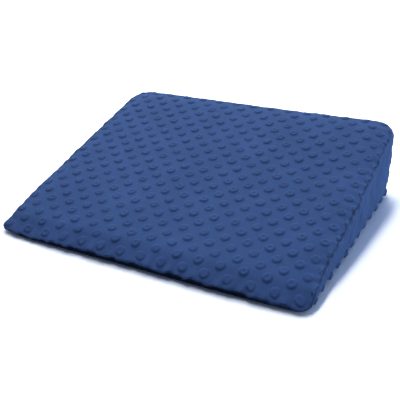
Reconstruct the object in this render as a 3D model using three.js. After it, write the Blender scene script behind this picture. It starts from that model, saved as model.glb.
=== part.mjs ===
// Wedge pillow: one foam-filled wedge in a sewn cover of raised-dot plush.
// Millimetres, +Z up. The thin edge faces -Y, the thick back faces +Y, and the flat underside lies at z = 0.
//
// The cover is six panels: a sloping top, a flat underside, a low front strip, two tapering sides and a back.
// Each panel is first worked out flat, as the cloth is cut, and then laid on the filled shape. Neighbours share
// the points of the seam between them, and every seam pulls in, so the solid is closed and crowned in between.
import * as THREE from 'three';
import { mergeVertices } from 'three/addons/utils/BufferGeometryUtils.js';

// Driving sizes
const width = 354; // left seam to right seam
const slopeLength = 302; // front seam to back seam, along the top panel
const slopeAngle = THREE.MathUtils.degToRad(14);
const frontHeight = 11.5; // top seam above the floor at the thin edge
const baseSeamHeight = 3.5; // bottom seam above the floor, all round
const baseSideInset = 2; // how far the bottom seam lies inside the top seam at the sides
const frontTuck = 3.5; // how far it lies behind the top seam at the thin edge

// Outline of the top and the underside
const cornerRadii = [9, 9, 20, 26]; // front left, front right, back right, back left
const bows = [1.2, 0.6, 1.2, 2.8]; // how far the front, right, back and left seams bow out
const seamStep = 13; // spacing of the points along a seam
const cornerAngles = [15, 30, 45].map(THREE.MathUtils.degToRad); // points on half of a corner's arc

// Filled shape
const seamDraw = 2.2; // depth to which a seam pulls the cloth in
const seamReach = 7; // distance from the seam over which it does
const hemInset = 4; // first row of points inside a seam
const topCrown = 4; // extra height in the middle of the top panel
const wallBulge = 0.06; // bulge of a wall, as a share of its height
const bulgeAtCorner = 0.55; // share of that bulge left at the upright seams
const footRoll = 8; // width of the rounded border around the flat underside
const footInset = 12; // how far inside the outline the corners of the flat underside lie
const lowWall = 14; // a wall under this height has a single row of points
const frontSag = [3.5, 1.2]; // how far the top seam sinks at the left and right end of the thin edge
const sagReach = 80; // distance up the slope over which the sag fades
const sagSpan = [60, 170]; // it starts and ends this far to each side of the middle
const backRise = 2; // how far the top seam rises at the right back corner
const riseReach = [180, 120]; // it starts this far to the left of that corner, and this far in front of it
const leftEar = [-8, 5]; // pull of the left front corner, outwards and back
const earReach = 16; // distance over which that pull fades

// Dots of the plush, in rows turned 45 degrees to the panel's edges
const dotPitch = 24.05;
const dotRadius = 5.2;
const dotTopRadius = 4;
const dotHeight = 1.8;
const dotSides = 6;
const dotMargin = 1.8; // least distance from a whole dot to a seam
const dotUnevenness = 0.03; // share by which the corners of a dot differ
const topDotShift = [-0.58 * dotPitch, 0.56 * dotPitch];
const wallDotShift = [0.25 * dotPitch, 0.42 * dotPitch];

const halfWidth = width / 2;
const halfSlope = slopeLength / 2;
const middleHeight = frontHeight + halfSlope * Math.sin(slopeAngle);
const slopeNormal = new THREE.Vector3(0, -Math.sin(slopeAngle), Math.cos(slopeAngle));

const plush = new THREE.MeshStandardMaterial({ color: 0x3b5791, roughness: 0.92, metalness: 0 });

// Cut outline of the top panel: a rectangle with round corners, whose straight edges bow out in a low parabola.
// It runs anticlockwise from the front-left corner. A wall stands on each of its four sides in turn.
function cutOutline() {
  const outline = { points: [], normals: [], starts: [] };
  for (let side = 0; side < 4; side += 1) {
    const turn = (side * Math.PI) / 2;
    const [half, reach] = side % 2 ? [halfSlope, halfWidth] : [halfWidth, halfSlope];
    const add = (run, radius, lean) => {
      const depth = reach - radius * (1 - Math.cos(lean)) + bows[side] * (1 - (run / half) ** 2);
      outline.points.push(turned(run, -depth, turn));
      outline.normals.push(turned(Math.sin(lean), -Math.cos(lean), turn));
    };
    const from = cornerRadii[side] - half;
    const to = half - cornerRadii[(side + 1) % 4];
    const steps = Math.round((to - from) / seamStep);
    outline.starts.push(outline.points.length);
    for (const angle of [...cornerAngles].reverse()) {
      add(from - cornerRadii[side] * Math.sin(angle), cornerRadii[side], -angle);
    }
    for (let step = 0; step <= steps; step += 1) {
      add(from + ((to - from) * step) / steps, 0, 0);
    }
    for (const angle of cornerAngles.slice(0, -1)) {
      add(to + (half - to) * Math.sin(angle), half - to, angle);
    }
  }
  return outline;
}

function turned(x, y, angle) {
  return [x * Math.cos(angle) - y * Math.sin(angle), x * Math.sin(angle) + y * Math.cos(angle)];
}

// Signed distance from a flat point to a closed edge: positive inside the panel.
function distanceToEdge([x, y], edge) {
  let nearest = Infinity;
  let inside = false;
  for (let i = 0, j = edge.length - 1; i < edge.length; j = i, i += 1) {
    const [ax, ay] = edge[j];
    const [bx, by] = edge[i];
    const along = ((x - ax) * (bx - ax) + (y - ay) * (by - ay)) / ((bx - ax) ** 2 + (by - ay) ** 2);
    const share = Math.min(1, Math.max(0, along));
    nearest = Math.min(nearest, Math.hypot(ax + share * (bx - ax) - x, ay + share * (by - ay) - y));
    if (ay > y !== by > y && x < ax + ((y - ay) * (bx - ax)) / (by - ay)) {
      inside = !inside;
    }
  }
  return inside ? nearest : -nearest;
}

// Height of the cloth above its seams: a parabola that levels out at seamReach.
function seamRise(distance) {
  const share = Math.min(1, distance / seamReach);
  return seamDraw * (1 - (1 - share) ** 2);
}

// Height of a point of the top above its even slope. The thin edge sinks towards its two ends, where little foam
// holds it up, and the foam fills the right back corner a little more.
function unevenness([x, y]) {
  const { smoothstep } = THREE.MathUtils;
  const sag = frontSag[0] * smoothstep(-x, ...sagSpan) + frontSag[1] * smoothstep(x, ...sagSpan);
  const nearFront = smoothstep(sagReach - halfSlope - y, 0, sagReach);
  const nearCorner =
    smoothstep(x, halfWidth - riseReach[0], halfWidth) * smoothstep(y, halfSlope - riseReach[1], halfSlope);
  return backRise * nearCorner - sag * nearFront;
}

// Flat point with a share of the pull of the left front corner, which fades like a bell around it.
function pulled([x, y], share) {
  const near = share * Math.exp(-((x + halfWidth) ** 2 + (y + halfSlope) ** 2) / earReach ** 2);
  return [x + near * leftEar[0], y + near * leftEar[1]];
}

// Point of the top panel above the plane of its seams.
function onTop(point, lift) {
  const [x, y] = pulled(point, 1);
  const crown = topCrown * Math.max(0, 1 - (x / halfWidth) ** 2) * Math.max(0, 1 - (y / halfSlope) ** 2);
  const height = middleHeight + y * Math.sin(slopeAngle) + unevenness(point);
  return new THREE.Vector3(x, y * Math.cos(slopeAngle), height).addScaledVector(slopeNormal, crown + lift);
}

// Point of the underside. It is flat but for a border that rolls up to the bottom seam.
function onBase(point, distance) {
  const roll = Math.max(0, 1 - distance / footRoll);
  const [x, y] = pulled(point, roll);
  const across = x * (1 - baseSideInset / halfWidth);
  const back = (frontTuck * Math.max(0, -y)) / halfSlope;
  return new THREE.Vector3(across, y * Math.cos(slopeAngle) + back, baseSeamHeight * roll ** 2);
}

// Centres of the dots that fit whole on a panel: every other point of a square lattice of half the pitch.
function dotCentres(edge, [shiftX, shiftY]) {
  const half = dotPitch / 2;
  const span = Math.ceil(width / dotPitch) + 1;
  const centres = [];
  for (let row = -2 * span; row <= 2 * span; row += 1) {
    for (let column = -2 * span; column <= 2 * span; column += 1) {
      const centre = [shiftX + column * half, shiftY + row * half];
      if ((row + column) % 2 === 0 && distanceToEdge(centre, edge) > dotRadius + dotMargin) {
        centres.push(centre);
      }
    }
  }
  return centres;
}

// Ring of a dot's corners. A smooth wave makes each one a little uneven.
function dotRing([x, y], radius) {
  return Array.from({ length: dotSides }, (_, corner) => {
    const angle = ((corner + 0.5) * 2 * Math.PI) / dotSides;
    const uneven = radius * (1 + dotUnevenness * Math.sin(x * 1.7 + y * 2.3 + corner * 2.1));
    return [x + uneven * Math.cos(angle), y + uneven * Math.sin(angle)];
  });
}

// Delaunay triangles of flat points. Each point in turn replaces the triangles whose circle it lies in.
function delaunay(points) {
  const far = 1e6;
  const all = [...points, [-far, -far], [far, -far], [0, far]];
  const circled = (a, b, c) => {
    const [ax, ay] = all[a];
    const [bx, by] = [all[b][0] - ax, all[b][1] - ay];
    const [cx, cy] = [all[c][0] - ax, all[c][1] - ay];
    const area = 2 * (bx * cy - by * cx);
    const x = (cy * (bx * bx + by * by) - by * (cx * cx + cy * cy)) / area;
    const y = (bx * (cx * cx + cy * cy) - cx * (bx * bx + by * by)) / area;
    return { corners: [a, b, c], x: ax + x, y: ay + y, reach: x * x + y * y };
  };
  const first = points.length;
  let triangles = [circled(first, first + 1, first + 2)];
  points.forEach(([x, y], index) => {
    const rim = new Map();
    triangles = triangles.filter((triangle) => {
      if ((triangle.x - x) ** 2 + (triangle.y - y) ** 2 >= triangle.reach) {
        return true;
      }
      triangle.corners.forEach((a, corner) => {
        const b = triangle.corners[(corner + 1) % 3];
        if (!rim.delete(`${b} ${a}`)) {
          rim.set(`${a} ${b}`, [a, b]);
        }
      });
      return false;
    });
    rim.forEach(([a, b]) => triangles.push(circled(a, b, index)));
  });
  return triangles.map(({ corners }) => corners).filter((corners) => Math.max(...corners) < first);
}

// One panel. edge holds its outline: each point as cut, and where the seam takes it. rows are flat points inside,
// and place lays a flat point on the filled shape at a height above it. The cloth is triangulated with a hole for
// each dot, which then gets its sloping rim and a flat top, or a plain peak where fullDots is off.
function sewPanel({ edge, rows, place, centres, fullDots }) {
  const cut = edge.map((point) => point.cut);
  const sewn = edge.map((point) => point.sewn);
  const addInner = (point, height) => {
    sewn.push(place(point, height));
    return cut.push(point) - 1;
  };
  const clear = ([x, y]) => centres.every(([cx, cy]) => Math.hypot(cx - x, cy - y) > dotRadius + 1);
  rows.filter(clear).forEach((point) => addInner(point, 0));
  const firstRing = cut.length;
  const rings = centres.map((centre) => dotRing(centre, dotRadius).map((point) => addInner(point, 0)));
  const dotOf = (corner) => Math.floor((corner - firstRing) / dotSides);
  const inDot = ([a, b, c]) => Math.min(a, b, c) >= firstRing && dotOf(a) === dotOf(b) && dotOf(b) === dotOf(c);
  const outline = cut.slice(0, edge.length);
  const middle = ([a, b, c], axis) => (cut[a][axis] + cut[b][axis] + cut[c][axis]) / 3;
  const inPanel = (corners) => distanceToEdge([middle(corners, 0), middle(corners, 1)], outline) > 0;
  const triangles = delaunay(cut).filter((corners) => !inDot(corners) && inPanel(corners));
  centres.forEach((centre, dot) => {
    const top = fullDots ? dotRing(centre, dotTopRadius) : [centre];
    const tops = top.map((point) => addInner(point, dotHeight));
    rings[dot].forEach((corner, k) => {
      const next = (k + 1) % dotSides;
      triangles.push([corner, rings[dot][next], tops[next % tops.length]]);
      if (fullDots) {
        triangles.push([corner, tops[next], tops[k]]);
      }
      if (fullDots && k > 0 && next > 0) {
        triangles.push([tops[0], tops[k], tops[next]]);
      }
    });
  });
  return triangles.flatMap((corners) => corners.map((corner) => sewn[corner]));
}

const outline = cutOutline();
const topSeam = outline.points.map((point) => onTop(point, 0));
const baseSeam = outline.points.map((point) => onBase(point, 0));
const inset = (distance) =>
  outline.points.map(([x, y], i) => [x - distance * outline.normals[i][0], y - distance * outline.normals[i][1]]);

function topPanel() {
  return sewPanel({
    edge: outline.points.map((cut, i) => ({ cut, sewn: topSeam[i] })),
    rows: inset(hemInset),
    place: (point, height) => onTop(point, seamRise(distanceToEdge(point, outline.points)) + height),
    centres: dotCentres(outline.points, topDotShift),
    fullDots: true,
  });
}

// The underside lies flat within a rectangle. It is worked out seen from above, so its triangles are turned over.
function basePanel() {
  const clamp = (value, limit) => THREE.MathUtils.clamp(value, footInset - limit, limit - footInset);
  const foot = outline.points.map(([x, y]) => [clamp(x, halfWidth), clamp(y, halfSlope)]);
  const moved = ([x, y], i) => x !== foot.at(i - 1)[0] || y !== foot.at(i - 1)[1];
  return sewPanel({
    edge: outline.points.map((cut, i) => ({ cut, sewn: baseSeam[i] })),
    rows: [...inset(hemInset), ...foot.filter(moved)],
    place: (point) => onBase(point, distanceToEdge(point, outline.points)),
    centres: [],
  }).reverse();
}

// A wall stands between the two seams over one side of the outline. As cut, x runs along it and y up it.
function wallPanel(side) {
  const start = outline.starts[side];
  const count = ((outline.starts[(side + 1) % 4] - start + outline.points.length) % outline.points.length) + 1;
  const posts = [];
  for (let k = 0; k < count; k += 1) {
    const i = (start + k) % outline.points.length;
    const before = posts[k - 1];
    posts.push({
      run: before ? before.run + topSeam[i].distanceTo(before.top) : 0,
      height: topSeam[i].distanceTo(baseSeam[i]),
      top: topSeam[i],
      base: baseSeam[i],
      out: new THREE.Vector3(...outline.normals[i], 0),
    });
  }
  const length = posts[count - 1].run;

  // Point at a share of the wall's height, pushed out by the filling.
  const between = (post, share, lift) => {
    const along = Math.sin((Math.PI * post.run) / length);
    const bulge = wallBulge * post.height * (bulgeAtCorner + (1 - bulgeAtCorner) * along) * 4 * share * (1 - share);
    return post.base.clone().lerp(post.top, share).addScaledVector(post.out, bulge + lift);
  };
  const place = ([x, y], height) => {
    const next = Math.max(1, posts.findIndex((post) => post.run > x));
    const [a, b] = [posts[next - 1], posts[next]];
    const share = (x - a.run) / (b.run - a.run);
    const post = {
      run: x,
      height: THREE.MathUtils.lerp(a.height, b.height, share),
      top: a.top.clone().lerp(b.top, share),
      base: a.base.clone().lerp(b.base, share),
      out: a.out.clone().lerp(b.out, share).normalize(),
    };
    const draw = Math.min(1, post.height / (2 * seamReach)) * seamRise(distanceToEdge([x, y], cut));
    return between(post, y / post.height, draw + height);
  };

  // Upright seams have points about a seam step apart. The cut edges bow out by a hair, so that no three line up.
  const hair = 0.2;
  const bow = (share) => 4 * hair * share * (1 - share);
  const upright = (post, sign) => {
    const steps = Math.max(1, Math.round(post.height / seamStep));
    return Array.from({ length: steps - 1 }, (_, k) => {
      const share = (k + 1) / steps;
      return { cut: [post.run + sign * bow(share), post.height * share], sewn: between(post, share, 0) };
    });
  };
  const edge = [
    ...posts.map((post) => ({ cut: [post.run, -bow(post.run / length)], sewn: post.base })),
    ...upright(posts[count - 1], 1),
    ...posts.map((post) => ({ cut: [post.run, post.height + bow(post.run / length)], sewn: post.top })).reverse(),
    ...upright(posts[0], -1).reverse(),
  ];
  const cut = edge.map((point) => point.cut);
  const rows = posts.slice(1, -1).flatMap(({ run, height }) =>
    height < lowWall ? [[run, height / 2]] : [[run, hemInset], [run, height - hemInset]]);
  return sewPanel({ edge, rows, place, centres: dotCentres(cut, wallDotShift) });
}

const corners = [topPanel(), basePanel(), wallPanel(0), wallPanel(1), wallPanel(2), wallPanel(3)].flat();
const shell = mergeVertices(new THREE.BufferGeometry().setFromPoints(corners), 1e-4);
const pillow = new THREE.Mesh(shell, plush);
pillow.name = 'wedge_pillow';

// The origin is on the floor, under the middle of the pillow's outline.
shell.computeBoundingBox();
const middle = shell.boundingBox.getCenter(new THREE.Vector3());
shell.translate(-middle.x, -middle.y, 0);

const part = new THREE.Group();
part.add(pillow);
export default part;
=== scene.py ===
# %% [markdown]
# # Wedge pillow in raised-dot plush
# The pillow is a foam wedge in a tight sewn cover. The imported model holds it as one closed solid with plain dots.
# This script takes that solid as a fixed frame and dresses it with the soft cover: six cut panels, the swelling of
# the filling, the drawn-in seams with their puckers, the raised dots and the short pile.

# %% Load the frame
from math import radians, pi

import bpy
import numpy as np
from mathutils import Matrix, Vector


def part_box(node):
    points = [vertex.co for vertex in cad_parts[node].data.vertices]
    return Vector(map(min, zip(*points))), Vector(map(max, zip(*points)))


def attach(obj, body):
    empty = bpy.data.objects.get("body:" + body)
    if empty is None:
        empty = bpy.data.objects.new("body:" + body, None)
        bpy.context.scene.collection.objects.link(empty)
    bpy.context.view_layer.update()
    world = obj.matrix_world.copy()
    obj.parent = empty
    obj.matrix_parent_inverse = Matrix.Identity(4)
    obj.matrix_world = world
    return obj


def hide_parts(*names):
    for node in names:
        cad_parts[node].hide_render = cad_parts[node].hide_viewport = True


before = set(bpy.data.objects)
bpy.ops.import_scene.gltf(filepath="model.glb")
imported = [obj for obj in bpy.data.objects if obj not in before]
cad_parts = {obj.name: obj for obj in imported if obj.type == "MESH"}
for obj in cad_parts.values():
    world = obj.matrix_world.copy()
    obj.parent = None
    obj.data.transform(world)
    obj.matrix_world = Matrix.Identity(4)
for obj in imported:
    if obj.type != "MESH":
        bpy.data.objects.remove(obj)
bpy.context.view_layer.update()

low, high = (np.array(corner) * 1000 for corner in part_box("wedge_pillow"))
print("solid, mm:", np.round(low, 1), "to", np.round(high, 1))

# %% [markdown]
# ## Camera
# The camera was worked out from the rows of dots in the photograph. It stands in front of the right-hand corner and
# looks down by 26 degrees. A camera can be aimed with a constraint, but a fixed place and turn stay the same however
# the pillow changes, so its three angles are set here.

# %% Camera
CAMERA_LENS = 59.84  # for a picture 36 mm wide
CAMERA_PLACE = (0.3210, -0.6183, 0.3517)  # metres
CAMERA_TURN = (64.11, 1.036, 27.574)  # degrees about X, Y and Z; straight down without them

camera_data = bpy.data.cameras.new("camera")
camera_data.sensor_width = 36
camera_data.lens = CAMERA_LENS
camera = bpy.data.objects.new("camera", camera_data)
camera.location = CAMERA_PLACE
camera.rotation_euler = [radians(angle) for angle in CAMERA_TURN]
bpy.context.collection.objects.link(camera)
bpy.context.scene.camera = camera
print("lens", camera_data.lens, "mm, camera", tuple(round(part, 3) for part in camera.location))

# %% [markdown]
# ## Cut of the cover
# The sizes are those of the solid, or within 3 mm of them. They are in millimetres, and only the mesh itself is in
# metres. The pillow lies with its thin edge towards -Y. The top panel is cut as a rectangle with round corners, and
# each edge bows out a little, because a filled panel pulls its corners back. A curve object could hold this line. A
# formula is shorter, and every panel that meets the seam can ask it for the same points.

# %% Outline of the top panel
HALF_WIDTH = 177
HALF_SLOPE = 151
CORNER_RADII = (9, 12, 22, 26)  # front left, front right, back right, back left
BOWS = (1.2, 0.6, 1.2, 3.4)  # front, right, back, left


def outline_side(side, share):
    """Flat points on one side of the outline at shares of its length, from corner middle to corner middle, and the
    directions that point out of the panel there. A side is an eighth of a circle, a straight run and an eighth of
    a circle, pushed out by bow times (1 - (run / half)²). Sides 0 to 3 are front, right, back and left."""
    half, reach = ((HALF_WIDTH, HALF_SLOPE), (HALF_SLOPE, HALF_WIDTH))[side % 2]
    first, last = CORNER_RADII[side], CORNER_RADII[(side + 1) % 4]
    way = share * ((first + last) * pi / 4 + 2 * half - first - last)
    straight_end = first * pi / 4 + 2 * half - first - last
    lean = np.minimum(way / first - pi / 4, 0) + np.maximum((way - straight_end) / last, 0)
    radius = np.where(lean < 0, first, last)
    straight = np.clip(way - first * pi / 4, 0, 2 * half - first - last) + first - half
    run = straight + radius * np.sin(lean)
    depth = reach - radius * (1 - np.cos(lean)) + BOWS[side] * (1 - (run / half) ** 2)
    turn = side * pi / 2
    across, forward = np.array([np.cos(turn), np.sin(turn)]), np.array([np.sin(turn), -np.cos(turn)])
    points = run[:, None] * across + depth[:, None] * forward
    normals = np.sin(lean)[:, None] * across + np.cos(lean)[:, None] * forward
    return points, normals


def outline_distance(x, y):
    """Distance from a flat point to the outline: that of a rounded rectangle whose half sizes carry the bows."""
    front_left, front_right, back_right, back_left = CORNER_RADII
    radius = np.where(y < 0, np.where(x < 0, front_left, front_right), np.where(x < 0, back_left, back_right))
    side_bow, end_bow = np.where(x < 0, BOWS[3], BOWS[1]), np.where(y < 0, BOWS[0], BOWS[2])
    side = np.abs(x) - (HALF_WIDTH + side_bow * (1 - (y / HALF_SLOPE) ** 2) - radius)
    end = np.abs(y) - (HALF_SLOPE + end_bow * (1 - (x / HALF_WIDTH) ** 2) - radius)
    outside = np.hypot(np.maximum(side, 0), np.maximum(end, 0))
    return np.maximum(0, radius - outside - np.minimum(np.maximum(side, end), 0))


front_line, _ = outline_side(0, np.linspace(0, 1, 5))
print("front seam, mm:", np.round(front_line, 1).tolist())

# %% [markdown]
# ## Slope and floor
# The top lies on a plane that rises by 14 degrees. Real foam and cloth aren't that exact: the thin edge sinks and
# rolls over, the left front corner is pulled out, and the right back corner stands a little proud. Small smooth
# bumps in the formula give these. Sculpting by hand would too, but couldn't be run again with other sizes.

# %% Lay flat points on the slope or on the floor
SLOPE = radians(14)
FRONT_HEIGHT = 11.5  # top seam above the floor at the thin edge
FRONT_SAG = (3.5, 1.2)  # the top seam sinks this far at the left and right end of the thin edge
SAG_START, SAG_RUN, SAG_WIDTH = 60, 110, 80  # from the middle, it sinks over this run, and over this width
FRONT_ROLL = (3.2, 2.8)  # the thin edge rolls down this far, and further at its right end
ROLL_START, ROLL_RUN, ROLL_WIDTH = 145, 32, 28  # where the right end starts, its run, and the width that rolls
BACK_RISE = (0.8, 2.3)  # the top seam rises this far along the back, and further at the right back corner
RISE_RUN, RISE_WIDTH = 180, 120  # the corner's rise fades over this run to the left, both over this width
PULLS = (  # places where the outline is pulled: x and y, the pull itself, and its reach
    ((-177, -151), (-7.6, 4.6), 19),
    ((-180, -104), (-3, 0), 34),
    ((85, -151), (0, -1), 60),
    ((177, -95), (-2.4, 0), 45),
)
BASE_SEAM_HEIGHT = 3.5
BASE_SIDE_INSET = 2
FRONT_TUCK = 2  # the bottom seam lies this far behind the top seam at the thin edge
FOOT_ROLL = 8  # the underside rolls up to the bottom seam over this width


def smooth(x):
    """Smoothstep: 0 below 0, 1 above 1, and 3x² - 2x³ between them."""
    x = np.clip(x, 0, 1)
    return x * x * (3 - 2 * x)


def pulled(flat):
    """A flat point moved by the pulls, each of which fades like a bell around its place."""
    bells = (np.exp(-((flat - at) ** 2).sum(-1) / reach**2)[..., None] * pull for at, pull, reach in PULLS)
    return flat + sum(bells)


def on_top(flat):
    """A flat point laid on the slope: height = middle height + y sin(slope), plus the rises and less the sags."""
    x, y = flat[..., 0], flat[..., 1]
    from_front, from_back, from_right = y + HALF_SLOPE, HALF_SLOPE - y, HALF_WIDTH - x
    rise = BACK_RISE[0] + BACK_RISE[1] * smooth(1 - from_right / RISE_RUN)
    sag = sum(depth * smooth((side * x - SAG_START) / SAG_RUN) for depth, side in zip(FRONT_SAG, (-1, 1)))
    roll = FRONT_ROLL[0] + FRONT_ROLL[1] * smooth((x - ROLL_START) / ROLL_RUN)
    rise = rise * smooth(1 - from_back / RISE_WIDTH)
    rise -= sag * smooth(1 - from_front / SAG_WIDTH) + roll * smooth(1 - from_front / ROLL_WIDTH)
    x, y = np.moveaxis(pulled(flat), -1, 0)
    return np.stack([x, y * np.cos(SLOPE), FRONT_HEIGHT + (HALF_SLOPE + y) * np.sin(SLOPE) + rise], -1)


def on_underside(flat, distance):
    """A flat point laid on the floor, a hair inside the top at the sides and behind it at the thin edge. Near the
    outline it rolls up to the bottom seam by a quarter of an ellipse."""
    x, y = np.moveaxis(pulled(flat), -1, 0)
    roll = 1 - np.sqrt(1 - np.maximum(0, 1 - distance / FOOT_ROLL) ** 2)
    tuck = FRONT_TUCK * np.maximum(0, -y) / HALF_SLOPE
    return np.stack([x * (1 - BASE_SIDE_INSET / HALF_WIDTH), y * np.cos(SLOPE) + tuck, BASE_SEAM_HEIGHT * roll], -1)


print("back seam, mm:", on_top(np.array([[-120, 151], [0, 151], [120, 151]]))[:, 2].round(1))

# %% [markdown]
# ## Wavering seams
# A sewn seam in stretchy cloth never runs straight: it wavers by about a millimetre. Noise on the finished mesh
# could do this, but it would shake the dots too. Here the seam line itself wavers, and the cloth follows it only
# near the seam.

# %% Waver
STRAY = (1.5, 0.9, 0.6, 0.9)  # the top seam wavers by this much: front, right, back, left
STRAY_REACH = 20
STRAY_RUN = 25  # from nothing at a corner, the waver grows to its full amount over this run
STRAY_WAVES = (11.3, 24.05, 37, 61), (13.1, 24.05, 31, 53)  # lengths of the waves outwards and upwards
FOOT_STRAY = 0.6  # the bottom seam wavers by this share of it
WALL_STRAY_REACH = 10  # the tight walls follow the waver over this width only


def ripple(way, lengths, seed):
    """Uneven waves along a seam, from -1 to 1: the mean of sines whose lengths don't divide each other."""
    starts = np.random.default_rng(seed).random(len(lengths))
    return sum(np.sin(2 * pi * (way / length + start)) for length, start in zip(lengths, starts)) / len(lengths)


def stray(side, share, seed):
    """How far a seam strays from its line, in millimetres outwards and upwards, at shares of a side. It is nil at the
    corners, where four seams would otherwise part."""
    length = 2 * (HALF_WIDTH, HALF_SLOPE)[side % 2]
    turn = side * pi / 2
    amount = STRAY[side] * smooth(np.minimum(share, 1 - share) * length / STRAY_RUN)
    out = amount * ripple(share * length, STRAY_WAVES[0], seed + side)
    rise = amount * ripple(share * length, STRAY_WAVES[1], seed + side + 4)
    return np.stack([np.sin(turn) * out, -np.cos(turn) * out, rise], -1)


def strayed(edges, across, along, seed):
    """The stray of all four seams of the top panel, each fading with the distance from its own edge."""
    shares = (across[None, :], along[:, None], 1 - across[None, :], 1 - along[:, None])
    fades = smooth(1 - np.maximum(edges, 0) / STRAY_REACH)
    return sum(fades[..., side, None] * stray(side, shares[side], seed) for side in range(4))


print("waver of the front seam, mm:", stray(0, np.linspace(0, 1, 9), 40)[:, 1].round(1))

# %% [markdown]
# ## Raised dots
# The plush has round raised dots in rows turned by 45 degrees: they are the points of a square grid of half the
# pitch, every other one left out. The nearest dot follows from rounding two turned coordinates, so no dot is a mesh
# of its own. A dot is a flat pad with a steep edge. A square grid would give that edge the steps of a stair, so the
# grid points next to it are first moved onto its two circles.

# %% Dots
DOT_PITCH = 24.05
DOT_RADIUS = 4.75
DOT_RIM = 1.1
WALL_DOT_RIM = 2.4  # stretched over the walls, the dots are low domes
TOP_DOT_SHIFT = (-0.58 * DOT_PITCH, 0.56 * DOT_PITCH)
WALL_DOT_SHIFT = (0.75 * DOT_PITCH, 0.14 * DOT_PITCH)
DIMPLE, DIMPLE_RADIUS = 0.6, 1.3  # depth, as a share of the height, and radius of the dimple that some dots have
DOT_VARIETY = np.random.default_rng(14).random((64, 64, 4))  # each dot's own size, height, dimple and waver


def nearest_dot(x, y, shift):
    """Offset of flat points from the middle of their nearest dot, its radius towards them, and two of its own random
    numbers. Turned coordinates p = (a + b) / 2 and q = (a - b) / 2 are whole at every dot."""
    a, b = (x - shift[0]) * 2 / DOT_PITCH, (y - shift[1]) * 2 / DOT_PITCH
    p, q = (a + b) / 2, (a - b) / 2
    whole_p, whole_q = np.round(p).astype(int), np.round(q).astype(int)
    size, tall, dimple, phase = np.moveaxis(DOT_VARIETY[whole_p % 64, whole_q % 64], -1, 0)
    dx = (p - whole_p + q - whole_q) * DOT_PITCH / 2
    dy = (p - whole_p - q + whole_q) * DOT_PITCH / 2
    angle = np.arctan2(dy, dx)
    uneven = 0.96 + 0.08 * size + 0.02 * np.sin(2 * angle + 6 * phase) + 0.015 * np.sin(3 * angle + 9 * phase)
    return dx, dy, DOT_RADIUS * uneven, tall, dimple


def snapped(cut, distance, shift, step):
    """Flat grid points with those within a step of a dot's edge moved to the nearer circle of its rim. Near a seam
    they stay where they are."""
    dx, dy, radius, _, _ = nearest_dot(cut[..., 0], cut[..., 1], shift)
    r = np.hypot(dx, dy)
    away = r - radius
    wanted = radius + np.sign(away) * DOT_RIM / 2
    near = (np.abs(away) < step) * smooth((distance - 2) / 2)
    factor = near * (wanted / np.maximum(r, 1e-6) - 1)
    return cut + np.stack([dx, dy], -1) * factor[..., None]


def dots(x, y, shift, rim):
    """Height of the dots over flat points, from 0 to about 1.2. The pad falls off with a smoothstep over its rim. It
    is a little crowned, and a small bell takes out the dimple that some dots have."""
    dx, dy, radius, tall, dimple = nearest_dot(x, y, shift)
    r = np.hypot(dx, dy)
    pad = smooth((radius + rim / 2 - r) / rim)
    crown = 1 + 0.06 * (1 - (r / radius) ** 2)
    dip = DIMPLE * smooth((dimple - 0.5) * 4) * np.exp(-((r / DIMPLE_RADIUS) ** 2))
    return pad * (crown * (0.7 + 0.45 * tall) - dip)


print("dots across and up the top:", round(2 * HALF_WIDTH / DOT_PITCH, 1), round(2 * HALF_SLOPE / DOT_PITCH, 1))

# %% [markdown]
# ## Six panels
# The cover has a sloping top, an underside, a low front strip, two tapering sides and a back. Each is a grid of two
# parameters. The top and the underside fill the outline with a Coons patch, which blends four edge lines. A wall
# joins the top seam to the bottom seam by straight lines. The same function makes a coarse cover for the simulation
# and a fine one for the finished pillow, because only the parameters differ.


# %% Panels
def coons_patch(across, along):
    """Flat points of a panel between its four edges. Opposite edges are blended, the two blends are added, and the
    blend of the four corners is taken away once."""
    front, right = outline_side(0, across)[0], outline_side(1, along)[0]
    back, left = outline_side(2, 1 - across)[0], outline_side(3, 1 - along)[0]
    u, v = across[None, :, None], along[:, None, None]
    ends = (1 - v) * front[None] + v * back[None]
    sides = (1 - u) * left[:, None] + u * right[:, None]
    corners = (1 - v) * ((1 - u) * front[0] + u * front[-1]) + v * ((1 - u) * back[0] + u * back[-1])
    return ends + sides - corners


def wall(side, shares, up, step):
    """One wall. Its points are low + share of the height × rise, plus the stray of each seam near that seam."""
    seam, out = outline_side(side, shares)
    lower, upper = on_underside(seam, np.zeros(len(seam))), on_top(seam)
    tall = np.linalg.norm(upper - lower, axis=1)
    run = np.concatenate([[0], np.cumsum(np.linalg.norm(np.diff(upper, axis=0), axis=1))])
    cut = np.stack(np.meshgrid(run, up), -1) * np.stack([np.ones(len(run)), tall], -1)
    cut = snapped(cut, wall_edges(cut, run, tall).min(-1), WALL_DOT_SHIFT, step)
    strays = stray(side, shares, 40), FOOT_STRAY * stray(side, shares, 50)
    post = np.column_stack([lower, upper - lower, *strays, out, tall])
    at_run = np.stack([np.interp(cut[..., 0], run, column) for column in post.T], -1)
    low, rise, top_stray, foot_stray, out, tall = np.split(at_run, (3, 6, 9, 12, 14), -1)
    height, reach = cut[..., 1:], np.minimum(WALL_STRAY_REACH, tall)
    points = low + rise * height / tall
    points += top_stray * smooth(1 - (tall - height) / reach) + foot_stray * smooth(1 - height / reach)
    edges = wall_edges(cut, run, tall[..., 0])
    out = np.append(out, np.zeros_like(tall), -1)
    return dict(points=points, cut=cut, distance=edges.min(-1), edges=edges, out=out, height=tall[..., 0])


def wall_edges(cut, run, tall):
    """Distances of a wall's flat points to its bottom seam, right upright, top seam and left upright."""
    x, y = cut[..., 0], cut[..., 1]
    return np.maximum(0, np.stack([y, run[-1] - x, tall - y, x], -1))


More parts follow.
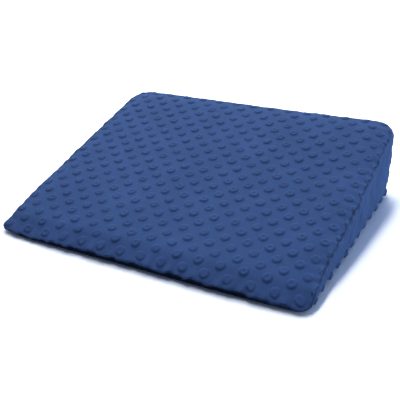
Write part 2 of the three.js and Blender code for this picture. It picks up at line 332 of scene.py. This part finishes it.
def cover(across, along, up):
    """The six sewn panels before filling. Each has its points, its cut (x along, y up), the distance to its seam and
    the distances to its four edges in turn: lower, right, upper, left."""
    step = 2 * HALF_WIDTH / len(across)
    flat = coons_patch(across, along)
    distance = outline_distance(flat[..., 0], flat[..., 1])
    distance[[0, -1]], distance[:, [0, -1]] = 0, 0
    flat = snapped(flat, distance, TOP_DOT_SHIFT, step)
    x, y = flat[..., 0], flat[..., 1]
    edges = np.stack([y + HALF_SLOPE, HALF_WIDTH - x, HALF_SLOPE - y, x + HALF_WIDTH], -1)
    common = dict(cut=flat, distance=distance, edges=edges)
    panels = {"top": dict(points=on_top(flat) + strayed(edges, across, along, 40), **common),
              "underside": dict(points=on_underside(flat, distance), **common)}
    for side, name in enumerate(("front", "right", "back", "left")):
        panels[name] = wall(side, along if side % 2 else across, up, step)
    return panels


flat_top = coons_patch(np.linspace(0, 1, 9), np.linspace(0, 1, 9))
print("flat top panel, mm:", np.ptp(flat_top, axis=(0, 1)).round(1))

# %% [markdown]
# ## Numbering the vertices
# Neighbouring panels share the vertices of their seam, so the cover is closed without merging doubles. Merging by
# distance would also work, but on a fine mesh it can join points that only lie close together.


# %% Vertex numbers
def grid_sides(grid):
    """The four border rows of a grid in the order of the outline: front, right, back, left."""
    return grid[0], grid[:, -1], grid[-1, ::-1], grid[::-1, 0]


def number_cover(across_count, along_count, up_count):
    """Vertex numbers of each panel as a grid, and how many vertices there are."""
    top = np.arange(across_count * along_count).reshape(along_count, across_count)
    underside = top + top.size
    numbers, total = {"top": top, "underside": underside}, 2 * top.size
    posts = total + np.arange(4 * (up_count - 2)).reshape(4, up_count - 2)
    total += posts.size
    for side, name in enumerate(("front", "right", "back", "left")):
        upper, lower = grid_sides(top)[side], grid_sides(underside)[side]
        grid = np.empty((up_count, len(upper)), int)
        inside = (up_count - 2) * (len(upper) - 2)
        grid[0], grid[-1] = lower, upper
        grid[1:-1, 0], grid[1:-1, -1] = posts[side], posts[(side + 1) % 4]
        grid[1:-1, 1:-1] = total + np.arange(inside).reshape(up_count - 2, -1)
        numbers[name] = grid
        total += inside
    return numbers, total


def grid_faces(grid):
    """Quads of a grid, anticlockwise as its two parameters run to the right and up."""
    return np.stack([grid[:-1, :-1], grid[:-1, 1:], grid[1:, 1:], grid[1:, :-1]], -1).reshape(-1, 4)


def seen_faces(name, grid):
    """Quads of a panel as they are seen from outside. The underside is turned over."""
    return grid_faces(grid)[:, ::-1] if name == "underside" else grid_faces(grid)


def gathered(panels, numbers, total, key="points"):
    """One array of a value of all panels by vertex number."""
    values = np.zeros((total,) + panels["top"][key].shape[2:])
    for name, grid in numbers.items():
        values[grid] = panels[name][key]
    return values


print("vertices of a cover with 3 x 3 x 3 lines:", number_cover(3, 3, 3)[1])

# %% [markdown]
# ## Mesh from arrays
# The cover, its coarse copy and the floor are all made from arrays of points and quads. Blender can build a mesh from
# lists with from_pydata, but foreach_set takes whole arrays and is far faster for half a million faces.


# %% Mesh from arrays
def new_mesh(name, points, quads):
    """A mesh object from points in millimetres and quads, written with foreach_set."""
    mesh = bpy.data.meshes.new(name)
    mesh.vertices.add(len(points))
    mesh.vertices.foreach_set("co", (points * 0.001).astype(np.float32).ravel())
    mesh.loops.add(quads.size)
    mesh.loops.foreach_set("vertex_index", quads.astype(np.int32).ravel())
    mesh.polygons.add(len(quads))
    mesh.polygons.foreach_set("loop_start", np.arange(0, quads.size, 4, dtype=np.int32))
    mesh.update(calc_edges=True)
    piece = bpy.data.objects.new(name, mesh)
    bpy.context.collection.objects.link(piece)
    print(f"{name}: {len(points)} vertices and {len(quads)} quads")
    return piece


# %% [markdown]
# ## Filling the cover
# A cushion gets its form from the filling that pushes its panels out against the seams. The shape can be guessed
# with a formula, but a cloth simulation finds how far each panel swells and how it tightens between the corners. It
# runs on a coarse copy of the cover, with pressure inside and no gravity. Its seams are held softly, because the
# foam has its edges there.

# %% Simulate the filling
COARSE_STEP = 6.5
COARSE_ROWS = 10  # lines up a wall, with both seams
FRAMES = 20
SEAM_HOLD, UPRIGHT_HOLD = 0.5, 0.03  # how strongly the foam's edges hold the cover there, from 0 to 1


def lines(length, step, hem=()):
    """Parameters of the grid lines over a length: close together at both hems, and evenly spaced between."""
    hem = np.array((0, *hem), float)
    count = round((length - 2 * hem[-1]) / step)
    inner = np.linspace(hem[-1], length - hem[-1], count + 1)
    return np.concatenate([hem[:-1], inner, length - hem[:-1][::-1]]) / length


def set_cloth(cloth):
    """Settings of a tight plush cover: it hardly stretches, bends easily, and is blown up without weight."""
    settings = dict(quality=8, mass=0.3, tension_stiffness=30, compression_stiffness=30, shear_stiffness=10,
                    bending_stiffness=2, vertex_group_mass="held", pin_stiffness=1, vertex_group_shrink="held",
                    shrink_max=0.05, use_pressure=True, uniform_pressure_force=20)
    for name, value in settings.items():
        setattr(cloth.settings, name, value)
    cloth.settings.effector_weights.gravity = 0
    cloth.point_cache.frame_start, cloth.point_cache.frame_end = 1, FRAMES


def swollen(panels, numbers, total):
    """How far each vertex moves when the cover is filled, in millimetres: its place after the last frame of the
    simulation less its place before. The coarse copy is taken away again, with its Cloth."""
    start = gathered(panels, numbers, total)
    quads = np.concatenate([seen_faces(name, grid) for name, grid in numbers.items()])
    piece = new_mesh("coarse_cover", start, quads)
    seam = gathered(panels, numbers, total, "distance") < 0.01
    uprights = np.concatenate([numbers[name][1:-1, 0] for name in ("front", "right", "back", "left")])
    held = piece.vertex_groups.new(name="held")
    held.add(np.flatnonzero(seam).tolist(), SEAM_HOLD, "ADD")
    held.add(uprights.tolist(), UPRIGHT_HOLD, "REPLACE")
    set_cloth(piece.modifiers.new("cloth", "CLOTH"))
    for step in range(1, FRAMES + 1):
        bpy.context.scene.frame_set(step)
    evaluated = piece.evaluated_get(bpy.context.evaluated_depsgraph_get())
    end = np.empty(total * 3, np.float32)
    evaluated.data.vertices.foreach_get("co", end)
    bpy.data.objects.remove(piece)
    bpy.context.scene.frame_set(1)
    return end.reshape(-1, 3) * 1000 - start


coarse_lines = [lines(2 * HALF_WIDTH, COARSE_STEP), lines(2 * HALF_SLOPE, COARSE_STEP)]
coarse_lines.append(np.linspace(0, 1, COARSE_ROWS))
coarse_panels = cover(*coarse_lines)
coarse_numbers, coarse_total = number_cover(*map(len, coarse_lines))
swell = swollen(coarse_panels, coarse_numbers, coarse_total)
for name, grid in coarse_numbers.items():
    moved = np.linalg.norm(swell[grid], axis=-1)
    print(f"{name}: moved {moved.mean():.2f} mm, at most {moved.max():.2f} mm, seam {moved[[0, -1]].mean():.2f} mm")

# %% [markdown]
# ## From the coarse cover to the fine one
# Foam gives way less and less as the cover stretches over it, so the movement is limited: little at the seams, more
# in the middle of a panel, and most on a tall wall. The limited movement is carried over to the fine grid with cubic
# curves along both parameters. A subdivision surface would be as smooth, but would move the seams.

# %% Fine cover
FINE_STEP = 1.05
FINE_ROWS = 61
HEM = (0.35, 0.9, 1.6, 2.4, 3.3)  # the first lines lie this far from a seam
SEAM_MOVE = 0.8  # a seam may move this far
PANEL_MOVES = {"top": 2.6, "underside": 0.8}  # and the middle of these panels this far
WALL_MOVE = 0.1  # a wall may move by this share of its height
MOVE_REACH = 25  # a panel may move by its own most from this far away from its seams
UPRIGHT_REACH = 40  # the foam's upright edges hold a wall over this width


def most_moves(panel, name):
    """Most movement of a panel's points: SEAM_MOVE at its seams, and its own MOVE_REACH away from them. A wall's own
    is a share of its height, and a quarter of that at its uprights."""
    is_wall = "height" in panel
    away = panel["edges"][..., (0, 2)].min(-1) if is_wall else panel["distance"]
    own = PANEL_MOVES.get(name)
    if is_wall:
        beside_upright = panel["edges"][..., (1, 3)].min(-1)
        own = WALL_MOVE * panel["height"] * (0.25 + 0.75 * smooth(beside_upright / UPRIGHT_REACH))
    return SEAM_MOVE + (own - SEAM_MOVE) * smooth(away / MOVE_REACH)


def softened(move):
    """A movement without the zigzags of the coarse grid: each point takes half its own value and a quarter of both
    neighbours', along rows and then along columns. End points stay, so neighbouring panels still meet."""
    for _ in range(2):
        move = np.swapaxes(move.copy(), 0, 1)
        move[1:-1] = move[1:-1] / 2 + (move[:-2] + move[2:]) / 4
    return move


def limited(move, most):
    """A movement shortened so that its length nears the most value: most times tanh(length / most)."""
    length = np.linalg.norm(move, axis=-1)
    return move * (most * np.tanh(length / most) / np.maximum(length, 1e-9))[..., None]


def carry(coarse_count, fine):
    """Matrix that takes values on evenly spaced lines to the fine parameters by Catmull-Rom cubics."""
    at = fine * (coarse_count - 1)
    first = np.clip(np.floor(at).astype(int), 0, coarse_count - 2)
    t = at - first
    weights = (-t + 2 * t**2 - t**3, 2 - 5 * t**2 + 3 * t**3, t + 4 * t**2 - 3 * t**3, t**3 - t**2)
    matrix = np.zeros((len(fine), coarse_count))
    for offset, weight in zip((-1, 0, 1, 2), weights):
        column = np.clip(first + offset, 0, coarse_count - 1)
        np.add.at(matrix, (np.arange(len(fine)), column), weight / 2)
    return matrix


fine_lines = [lines(2 * HALF_WIDTH, FINE_STEP, HEM), lines(2 * HALF_SLOPE, FINE_STEP, HEM)]
fine_lines.append(np.linspace(0, 1, FINE_ROWS))
panels = cover(*fine_lines)
numbers, total = number_cover(*map(len, fine_lines))
across, along, up = (carry(len(coarse), fine) for coarse, fine in zip(coarse_lines, fine_lines))
for name, panel in panels.items():
    move = limited(softened(swell[coarse_numbers[name]]), most_moves(coarse_panels[name], name))
    rows = along if name in ("top", "underside") else up
    columns = along if name in ("right", "left") else across
    panel["points"] = panel["points"] + np.einsum("ij,jkc,lk->ilc", rows, move, columns, optimize=True)
print("fine top before its seams are drawn in, mm:", np.ptp(panels["top"]["points"], axis=(0, 1)).round(1))

# %% [markdown]
# ## Seams
# Each seam pulls the cloth in, and the filling rounds it off on both sides. Across the seam the cloth follows a
# quarter of an ellipse. A bevel would round it evenly, but a sewn seam is a sharp line in a soft valley. Beside the
# upright corners the foam's edge pushes the walls out like half a flattened circle, most at half their height.

# %% Draw in the seams
SEAM_DRAW = 2.2
SEAM_REACH = 7
UPRIGHT_BULGE = 0.03  # the walls stand out by this share of their height beside the upright corners


def seam_rise(distance):
    """Height of the cloth above its seam: a quarter of an ellipse, SEAM_DRAW high and SEAM_REACH long."""
    share = np.clip(distance / SEAM_REACH, 0, 1)
    return SEAM_DRAW * np.sqrt(1 - (1 - share) ** 2)


slope_normal = np.array([0, -np.sin(SLOPE), np.cos(SLOPE)])
panels["top"]["points"] += slope_normal * seam_rise(panels["top"]["distance"])[..., None]
for name in ("front", "right", "back", "left"):
    panel = panels[name]
    bottom, right, top, left = np.moveaxis(panel["edges"], -1, 0)
    low_wall = np.minimum(1, panel["height"] / (2 * SEAM_REACH))
    bulge = UPRIGHT_BULGE * 2 * np.sqrt(np.maximum(0, bottom * (panel["height"] - bottom)))
    beside_upright = smooth(1 - np.minimum(right, left) / UPRIGHT_REACH)
    rise = seam_rise(np.minimum(bottom, top)) * low_wall + bulge * beside_upright
    panel["points"] += panel["out"] * rise[..., None]
    print(f"{name} wall: {panel['height'].min():.1f} to {panel['height'].max():.1f} mm high")

# %% [markdown]
# ## Puckers
# A sewn edge is a little longer than its thread lets it be, so the cloth gathers in short ripples that run away from
# the seam and die out. Near the bottom seam the walls are slack and puff out between the gathers. The simulation's
# grid is too coarse for folds this small, and sculpted ones would be lost with every new size. Uneven waves along the
# seam are never lost.

# %% Puckers
PUCKER = {"top": 0.26, "underside": 0.3, "front": 0.6, "right": 0.1, "back": 0.25, "left": 0.2}
PUCKER_START, PUCKER_REACH = 1.2, 9  # away from its seam a ripple is at its full height, and gone again
PUCKER_WAVES = (4.7, 7.3, 11.9, 23.5)
SEAM_SEEDS = {"top": (1, 2, 3, 4), "underside": (5, 6, 7, 8), "front": (5, 9, 1, 10), "right": (6, 11, 2, 9),
              "back": (7, 12, 3, 11), "left": (8, 10, 4, 12)}  # both panels of a seam share its ripples
FOOT_PUFF = 0.8
PUFF_START, PUFF_REACH = 2.5, 16
PUFF_WAVES = (16.9, 24.05, 29)


def puckers(panel, name):
    """Ripples of the four seams of a panel. Each fades with the distance from its own edge, and is nil at the seam.
    A wall also has the slower waves of its slack foot."""
    height = np.zeros(panel["distance"].shape)
    for edge, seed in enumerate(SEAM_SEEDS[name]):
        away = np.maximum(panel["edges"][..., edge], 0)
        fade = smooth(away / PUCKER_START) * smooth(1 - away / PUCKER_REACH)
        height += PUCKER[name] * ripple(panel["cut"][..., edge % 2], PUCKER_WAVES, seed) * fade
    if "out" in panel:
        away = panel["edges"][..., 0]
        puff = smooth(away / PUFF_START) * smooth(1 - away / PUFF_REACH) * smooth(panel["distance"] / 4)
        height += FOOT_PUFF * ripple(panel["cut"][..., 0], PUFF_WAVES, 60 + SEAM_SEEDS[name][0]) * puff
    return height


for name, panel in panels.items():
    panel["relief"] = puckers(panel, name)
    print(f"{name}: puckers from {panel['relief'].min():.2f} to {panel['relief'].max():.2f} mm")

# %% [markdown]
# ## Relief
# The dots and the puckers stand on the filled cover along its own normals. A displace modifier with a texture could
# raise them, but the formula is exact and needs no picture. Dots are lower where the cloth is stretched over the
# walls, and a seam that cuts through a dot holds it down.

# %% Raise the dots and puckers
DOT_HEIGHT = {"top": 1.35, "underside": 1.7, "front": 0.3, "right": 0.4, "back": 1.2, "left": 1.0}
SLACK_DOTS = {"right": (1.8, 2.4), "back": (2, 1), "left": (2, 1)}  # added where it is slack: foot and uprights
SLACK_REACH = 18  # the cloth is slack over this width
DOT_FADES = {"top": (1, 1.6, 5, 5), "underside": (4, 4, 4, 4)}  # dots fade out over these widths at the four edges
WALL_DOT_FADES = (1.6, 1.6, 3, 1.6)
SEAM_FADE = 2.2  # and over this width round the whole panel


def vertex_normals(points, quads):
    """Unit normals: each quad's normal is the cross product of its diagonals, and its corners add it up."""
    a, b, c, d = (points[quads[:, k]] for k in range(4))
    normal = np.cross(c - a, d - b)
    summed = np.stack([np.bincount(quads.ravel(), np.repeat(normal[:, k], 4), len(points)) for k in range(3)], -1)
    return summed / np.maximum(np.linalg.norm(summed, axis=1, keepdims=True), 1e-12)


for name, panel in panels.items():
    is_wall = "height" in panel
    shift, rim = (WALL_DOT_SHIFT, WALL_DOT_RIM) if is_wall else (TOP_DOT_SHIFT, DOT_RIM)
    fade = smooth(panel["edges"] / DOT_FADES.get(name, WALL_DOT_FADES)).prod(-1) * smooth(panel["distance"] / SEAM_FADE)
    mask = dots(panel["cut"][..., 0], panel["cut"][..., 1], shift, rim) * fade
    panel["dot"] = mask * (not is_wall)
    tall = DOT_HEIGHT[name]
    if name in SLACK_DOTS:
        beside_foot, beside_upright = panel["edges"][..., 0], panel["edges"][..., (1, 3)].min(-1)
        slack = [smooth(1 - beside_foot / SLACK_REACH), smooth(1 - beside_upright / SLACK_REACH)]
        tall = tall + np.max([extra * share for extra, share in zip(SLACK_DOTS[name], slack)], axis=0)
    panel["relief"] += tall * mask
quads = np.concatenate([seen_faces(name, grid) for name, grid in numbers.items()])
points = gathered(panels, numbers, total)
points += vertex_normals(points, quads) * gathered(panels, numbers, total, "relief")[:, None]
print(f"tallest dot: {panels['top']['relief'].max():.2f} mm")

# %% [markdown]
# ## On the floor
# The pillow's own weight presses the underside flat. Its dots carry the weight, so they are squeezed down to thin
# pads, and nothing lies under the floor. A collision in the simulation could press them, but its coarse copy has no
# dots. Setting the heights is exact. The origin then moves to the middle of the footprint, as in the solid.

# %% Press the underside
PRESSED = 0.6  # height of the squeezed dots
ORIGIN_SHIFT = (-0.98, 4.39, 0)  # the origin, seen from the middle of the top panel

under = panels["underside"]
lift = PRESSED * (1 - under["dot"]) * smooth(under["distance"] / FOOT_ROLL)
inside = numbers["underside"][1:-1, 1:-1]
points[inside, 2] = (on_underside(under["cut"], under["distance"])[..., 2] + lift)[1:-1, 1:-1]
points[:, 2] = np.maximum(points[:, 2], 0)
points -= ORIGIN_SHIFT
pillow = new_mesh("pillow_cover", points, quads)
pillow.data.shade_smooth()
print("from", points.min(0).round(1), "to", points.max(0).round(1), "mm")

# %% [markdown]
# ## Painted shade in the seams
# Pile stands on both sides of a seam and shuts the light out of it, more in some places than in others. Where the top
# rolls over at its back and left, it turns away from the light and looks darker too, and the low front strip stands in
# its own shade. Strands of hair could show all that, but would be many times larger. Here the panels store how much
# light the cloth keeps, and the material paints this shade into the colour. The dots' height is stored the same way.

# %% Store shade and dots
CLEFT = 1.3  # width of the dark line on each side of a seam
CLEFT_DEPTHS = {"top": (0.2, 0.7, 0.7, 0.7), "underside": (0.85,) * 4, "front": (0.85, 0.2, 0, 0.2)}
WALL_DEPTHS = (0.85, 0.2, 0.7, 0.2)  # share of the light lost at the lower, right, upper and left edge
CLEFT_WAVES = (8.3, 12.7, 24.05, 43)
STRIP_SHADE = 0.8  # the low front strip leans over the floor and loses this share of its light
STRIP_START, STRIP_RUN = 12, 60  # from its right end, where that starts, and the run over which it grows
RIM, RIM_SHADE = 7, 0.5  # width and painted shade of the rolled rim of the top at its back and left, where it turns from the light
RIM_BLEND = 60  # the rim's shade comes in over this width, across the diagonal


def cleft_shade(panel, name):
    """Share of the light that the cloth keeps: 1, less each seam's depth × its uneven strength × smooth(1 - away /
    width). The rolled rim of the top loses RIM_SHADE behind the diagonal from its front left to its back right
    corner, and the front strip loses STRIP_SHADE, which fades out towards its right end."""
    # painted shade: the seams, the rolled rim and the front strip keep less light
    shade = np.ones(panel["distance"].shape)
    for edge, depth in enumerate(CLEFT_DEPTHS.get(name, WALL_DEPTHS)):
        uneven = 0.65 + 0.8 * ripple(panel["cut"][..., edge % 2], CLEFT_WAVES, 80 + edge)
        shade -= depth * uneven * smooth(1 - panel["edges"][..., edge] / CLEFT)
    if name == "top":
        x, y = np.moveaxis(panel["cut"], -1, 0)
        behind = smooth(0.5 + (y * HALF_WIDTH / HALF_SLOPE - x) / RIM_BLEND)
        shade -= RIM_SHADE * behind * smooth(1 - panel["distance"] / RIM)
    if name == "front":
        shade -= STRIP_SHADE * smooth((panel["edges"][..., 1] - STRIP_START) / STRIP_RUN)
    return np.clip(shade, 0.08, 1)


def set_attribute(piece, name, values):
    """Stores one number for each vertex, for the material to read."""
    attribute = piece.data.attributes.new(name, "FLOAT", "POINT")
    attribute.data.foreach_set("value", values.astype(np.float32))


for name, panel in panels.items():
    panel["shade"] = cleft_shade(panel, name)
for key in ("dot", "shade"):
    values = gathered(panels, numbers, total, key)
    set_attribute(pillow, key, values)
    print(f"{key}: {values.min():.2f} to {values.max():.2f}")

# %% [markdown]
# ## Sheet map
# A cover is cut from flat cloth, so its panels already are their own flat map. They are laid side by side on one
# sheet without overlap. Unwrapping the finished shape would tear it up in places that no maker would cut.

# %% Lay the panels on one sheet
SHEET = 670  # side of the sheet
SHEET_PLACES = {"top": (184, 156), "underside": (184, 468), "back": (458, 4), "left": (458, 358),
                "right": (552, 4), "front": (552, 312)}


def on_sheet(panel, name):
    """Flat points of a panel on the sheet, from 0 to 1. The underside is turned over, and a wall stands on end with
    its top seam to the left."""
    x, y = np.moveaxis(panel["cut"], -1, 0)
    if name == "underside":
        x = -x
    elif name != "top":
        x, y = -y, x
    return (np.stack([x, y], -1) + SHEET_PLACES[name]) / SHEET


sheet = pillow.data.uv_layers.new(name="OFBake")
corners = []
for name, panel in panels.items():
    places = on_sheet(panel, name)
    local = np.arange(places.shape[0] * places.shape[1]).reshape(places.shape[:2])
    corners.append(places.reshape(-1, 2)[seen_faces(name, local)].reshape(-1, 2))
    print(f"{name} on the sheet: {places.min((0, 1)).round(3)} to {places.max((0, 1)).round(3)}")
sheet.uv.foreach_set("vector", np.concatenate(corners).astype(np.float32).ravel())

# %% [markdown]
# ## Plush
# Short pile scatters light at grazing angles, so its edges look soft and a little pale. Sheen does that. Small bumps
# give the pile, and broad patches of slightly different brightness show where the pile leans. Hair strands would
# show single threads, but at this distance they are finer than a pixel. The seams and the feet of the dots hold less
# light, so this shade is painted into their colour.


# %% Node helper
def add_node(tree, kind, inputs=None, **settings):
    """Adds a node, sets its properties, and links or sets its inputs."""
    node = tree.nodes.new(kind)
    for key, value in settings.items():
        setattr(node, key, value)
    for key, value in (inputs or {}).items():
        if isinstance(value, bpy.types.NodeSocket):
            tree.links.new(value, node.inputs[key])
        else:
            node.inputs[key].default_value = value
    return node


def scaled(tree, value, low, high, to_low, to_high):
    """A value taken from one range to another with a Map Range node."""
    ranges = {"Value": value, "From Min": low, "From Max": high, "To Min": to_low, "To Max": to_high}
    return add_node(tree, "ShaderNodeMapRange", ranges).outputs["Result"]


def product(tree, first, second):
    """first × second with a Math node."""
    return add_node(tree, "ShaderNodeMath", {0: first, 1: second}, operation="MULTIPLY").outputs[0]


# %% Plush material
PLUSH_DARK = (0.0345, 0.072, 0.181, 1)
PLUSH_LIGHT = (0.041, 0.0845, 0.213, 1)


def plush_colour(tree, place, pile):
    """Colour of the pile: two blues in broad patches, times the seams' painted shade, the painted shade at the feet of
    the dots, where dot × (1 - dot) is largest, and the brightness of single tufts."""
    dot = add_node(tree, "ShaderNodeAttribute", attribute_name="dot").outputs["Fac"]
    shade = add_node(tree, "ShaderNodeAttribute", attribute_name="shade").outputs["Fac"]
    waves = {"Vector": place, "Scale": 22.0, "Detail": 3.0, "Roughness": 0.55}
    patches = add_node(tree, "ShaderNodeTexNoise", waves).outputs["Fac"]
    ground = add_node(tree, "ShaderNodeMix", {0: scaled(tree, patches, 0.3, 0.7, 0, 1)}, data_type="RGBA")
    ground.inputs[6].default_value, ground.inputs[7].default_value = PLUSH_DARK, PLUSH_LIGHT
    beside = add_node(tree, "ShaderNodeMath", {0: 1.0, 1: dot}, operation="SUBTRACT").outputs[0]
    # painted shade at the feet of the dots
    foot = scaled(tree, product(tree, dot, beside), 0, 0.25, 1, 0.86)
    light = product(tree, product(tree, shade, foot), scaled(tree, pile, 0.3, 0.7, 0.9, 1.1))
    return add_node(tree, "ShaderNodeVectorMath", {0: ground.outputs[2], "Scale": light}, operation="SCALE").outputs[0]


def plush():
    """Royal blue short-pile plush."""
    material = bpy.data.materials.new("dotted_plush")
    material.use_nodes = True
    tree = material.node_tree
    tree.nodes.clear()
    place = add_node(tree, "ShaderNodeTexCoord").outputs["Object"]
    tufts = {"Vector": place, "Scale": 1500.0, "Detail": 2.0, "Roughness": 0.6}
    pile = add_node(tree, "ShaderNodeTexNoise", tufts).outputs["Fac"]
    bump = add_node(tree, "ShaderNodeBump", {"Height": pile, "Strength": 0.35, "Distance": 0.0006}).outputs[0]
    colour = plush_colour(tree, place, pile)
    shader = add_node(tree, "ShaderNodeBsdfPrincipled", {"Base Color": colour, "Roughness": 0.92, "Normal": bump})
    shader.inputs["Sheen Weight"].default_value = 0.08
    shader.inputs["Sheen Roughness"].default_value = 0.45
    shader.inputs["Sheen Tint"].default_value = (0.55, 0.68, 1, 1)
    shader.inputs["Specular IOR Level"].default_value = 0.15
    add_node(tree, "ShaderNodeOutputMaterial", {"Surface": shader.outputs[0]})
    return material


pillow.data.materials.append(plush())
print("plush:", len(pillow.data.materials[0].node_tree.nodes), "nodes")

# %% [markdown]
# ## Floor
# The pillow stands on plain white, as on a sheet of paper. A shadow catcher would need the white to be added to the
# finished picture, so a real floor is laid that is far wider than the view. The camera sees it as white, while it
# throws back only a little light, so that the thin edge keeps its dark shadow. It glows a little away from the
# pillow, which keeps it white into the distance.

# %% Floor
corners = np.array([[-6000, -6000, 0], [6000, -6000, 0], [6000, 6000, 0], [-6000, 6000, 0]], float)
floor = new_mesh("floor", corners, np.array([[0, 1, 2, 3]]))
white = bpy.data.materials.new("white_floor")
white.use_nodes = True
tree = white.node_tree
shader = tree.nodes["Principled BSDF"]
shader.inputs["Roughness"].default_value = 0.8
shader.inputs["Specular IOR Level"].default_value = 0.0
shader.inputs["Emission Color"].default_value = (1, 1, 1, 1)
seen = add_node(tree, "ShaderNodeLightPath").outputs["Is Camera Ray"]
place = add_node(tree, "ShaderNodeTexCoord").outputs["Object"]
away = add_node(tree, "ShaderNodeVectorMath", {0: place}, operation="LENGTH").outputs["Value"]
tree.links.new(scaled(tree, seen, 0, 1, 0.2, 1.2), shader.inputs["Base Color"])
tree.links.new(product(tree, scaled(tree, away, 0.2, 1.2, 0, 0.9), seen), shader.inputs["Emission Strength"])
floor.data.materials.append(white)

# %% [markdown]
# ## Lights
# The main light hangs above, to the left and a little behind, as the shadows in the photograph show. It is narrow
# from left to right, which gives the shadow beside the right wall a clear edge, and long from front to back, which
# softens the shadow at the thin edge. A weaker light behind brightens the far sides of the dots, and a low one from
# the right lifts the side wall. A sun would be simpler, but its shadows are equally hard in both directions.


# %% Studio lights
def area_light(name, place, turn, size, watts, colour=(1, 1, 1)):
    """A rectangular light that the camera doesn't see. Unturned it shines straight down."""
    data = bpy.data.lights.new(name, "AREA")
    data.shape = "RECTANGLE"
    data.size, data.size_y = size
    data.energy = watts
    data.color = colour
    light = bpy.data.objects.new(name, data)
    light.location = place
    light.rotation_euler = [radians(angle) for angle in turn]
    light.visible_camera = False
    bpy.context.collection.objects.link(light)
    print(f"{name}: {watts} W")


area_light("key", (-0.48, 0.6, 2.5), (-13.2, -10.9, 0), (0.45, 3.0), 54)
area_light("sky", (-0.65, 0.9, 0.75), (-42.2, -40.9, 0), (1.6, 1.6), 19, (0.75, 0.86, 1.0))
area_light("side", (1.0, 0.42, 0.03), (90, 0, 116.3), (0.7, 0.04), 9, (0.68, 0.83, 1.0))

# %% [markdown]
# ## World
# Pale blue light from all round fills the shadows, less from the front. An image of a studio could do this, but a
# plain colour that fades with the direction needs no file. The camera itself sees white.

# %% World
world = bpy.data.worlds.new("studio")
world.use_nodes = True
tree = world.node_tree
towards = add_node(tree, "ShaderNodeTexCoord").outputs["Generated"]
back = add_node(tree, "ShaderNodeSeparateXYZ", {0: towards}).outputs["Y"]
fill = tree.nodes["Background"]
fill.inputs["Color"].default_value = (0.2, 0.275, 0.45, 1)
tree.links.new(scaled(tree, back, -0.6, 0.1, 0.55, 1.15), fill.inputs["Strength"])
paper = add_node(tree, "ShaderNodeBackground", {"Color": (1, 1, 1, 1)})
seen = add_node(tree, "ShaderNodeLightPath").outputs["Is Camera Ray"]
either = add_node(tree, "ShaderNodeMixShader", {0: seen, 1: fill.outputs[0], 2: paper.outputs[0]})
tree.links.new(either.outputs[0], tree.nodes["World Output"].inputs["Surface"])
bpy.context.scene.world = world
bpy.context.scene.view_settings.view_transform = "Standard"
print("world:", len(tree.nodes), "nodes")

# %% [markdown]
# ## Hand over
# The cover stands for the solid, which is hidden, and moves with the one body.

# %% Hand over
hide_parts("wedge_pillow")
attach(pillow, "root")
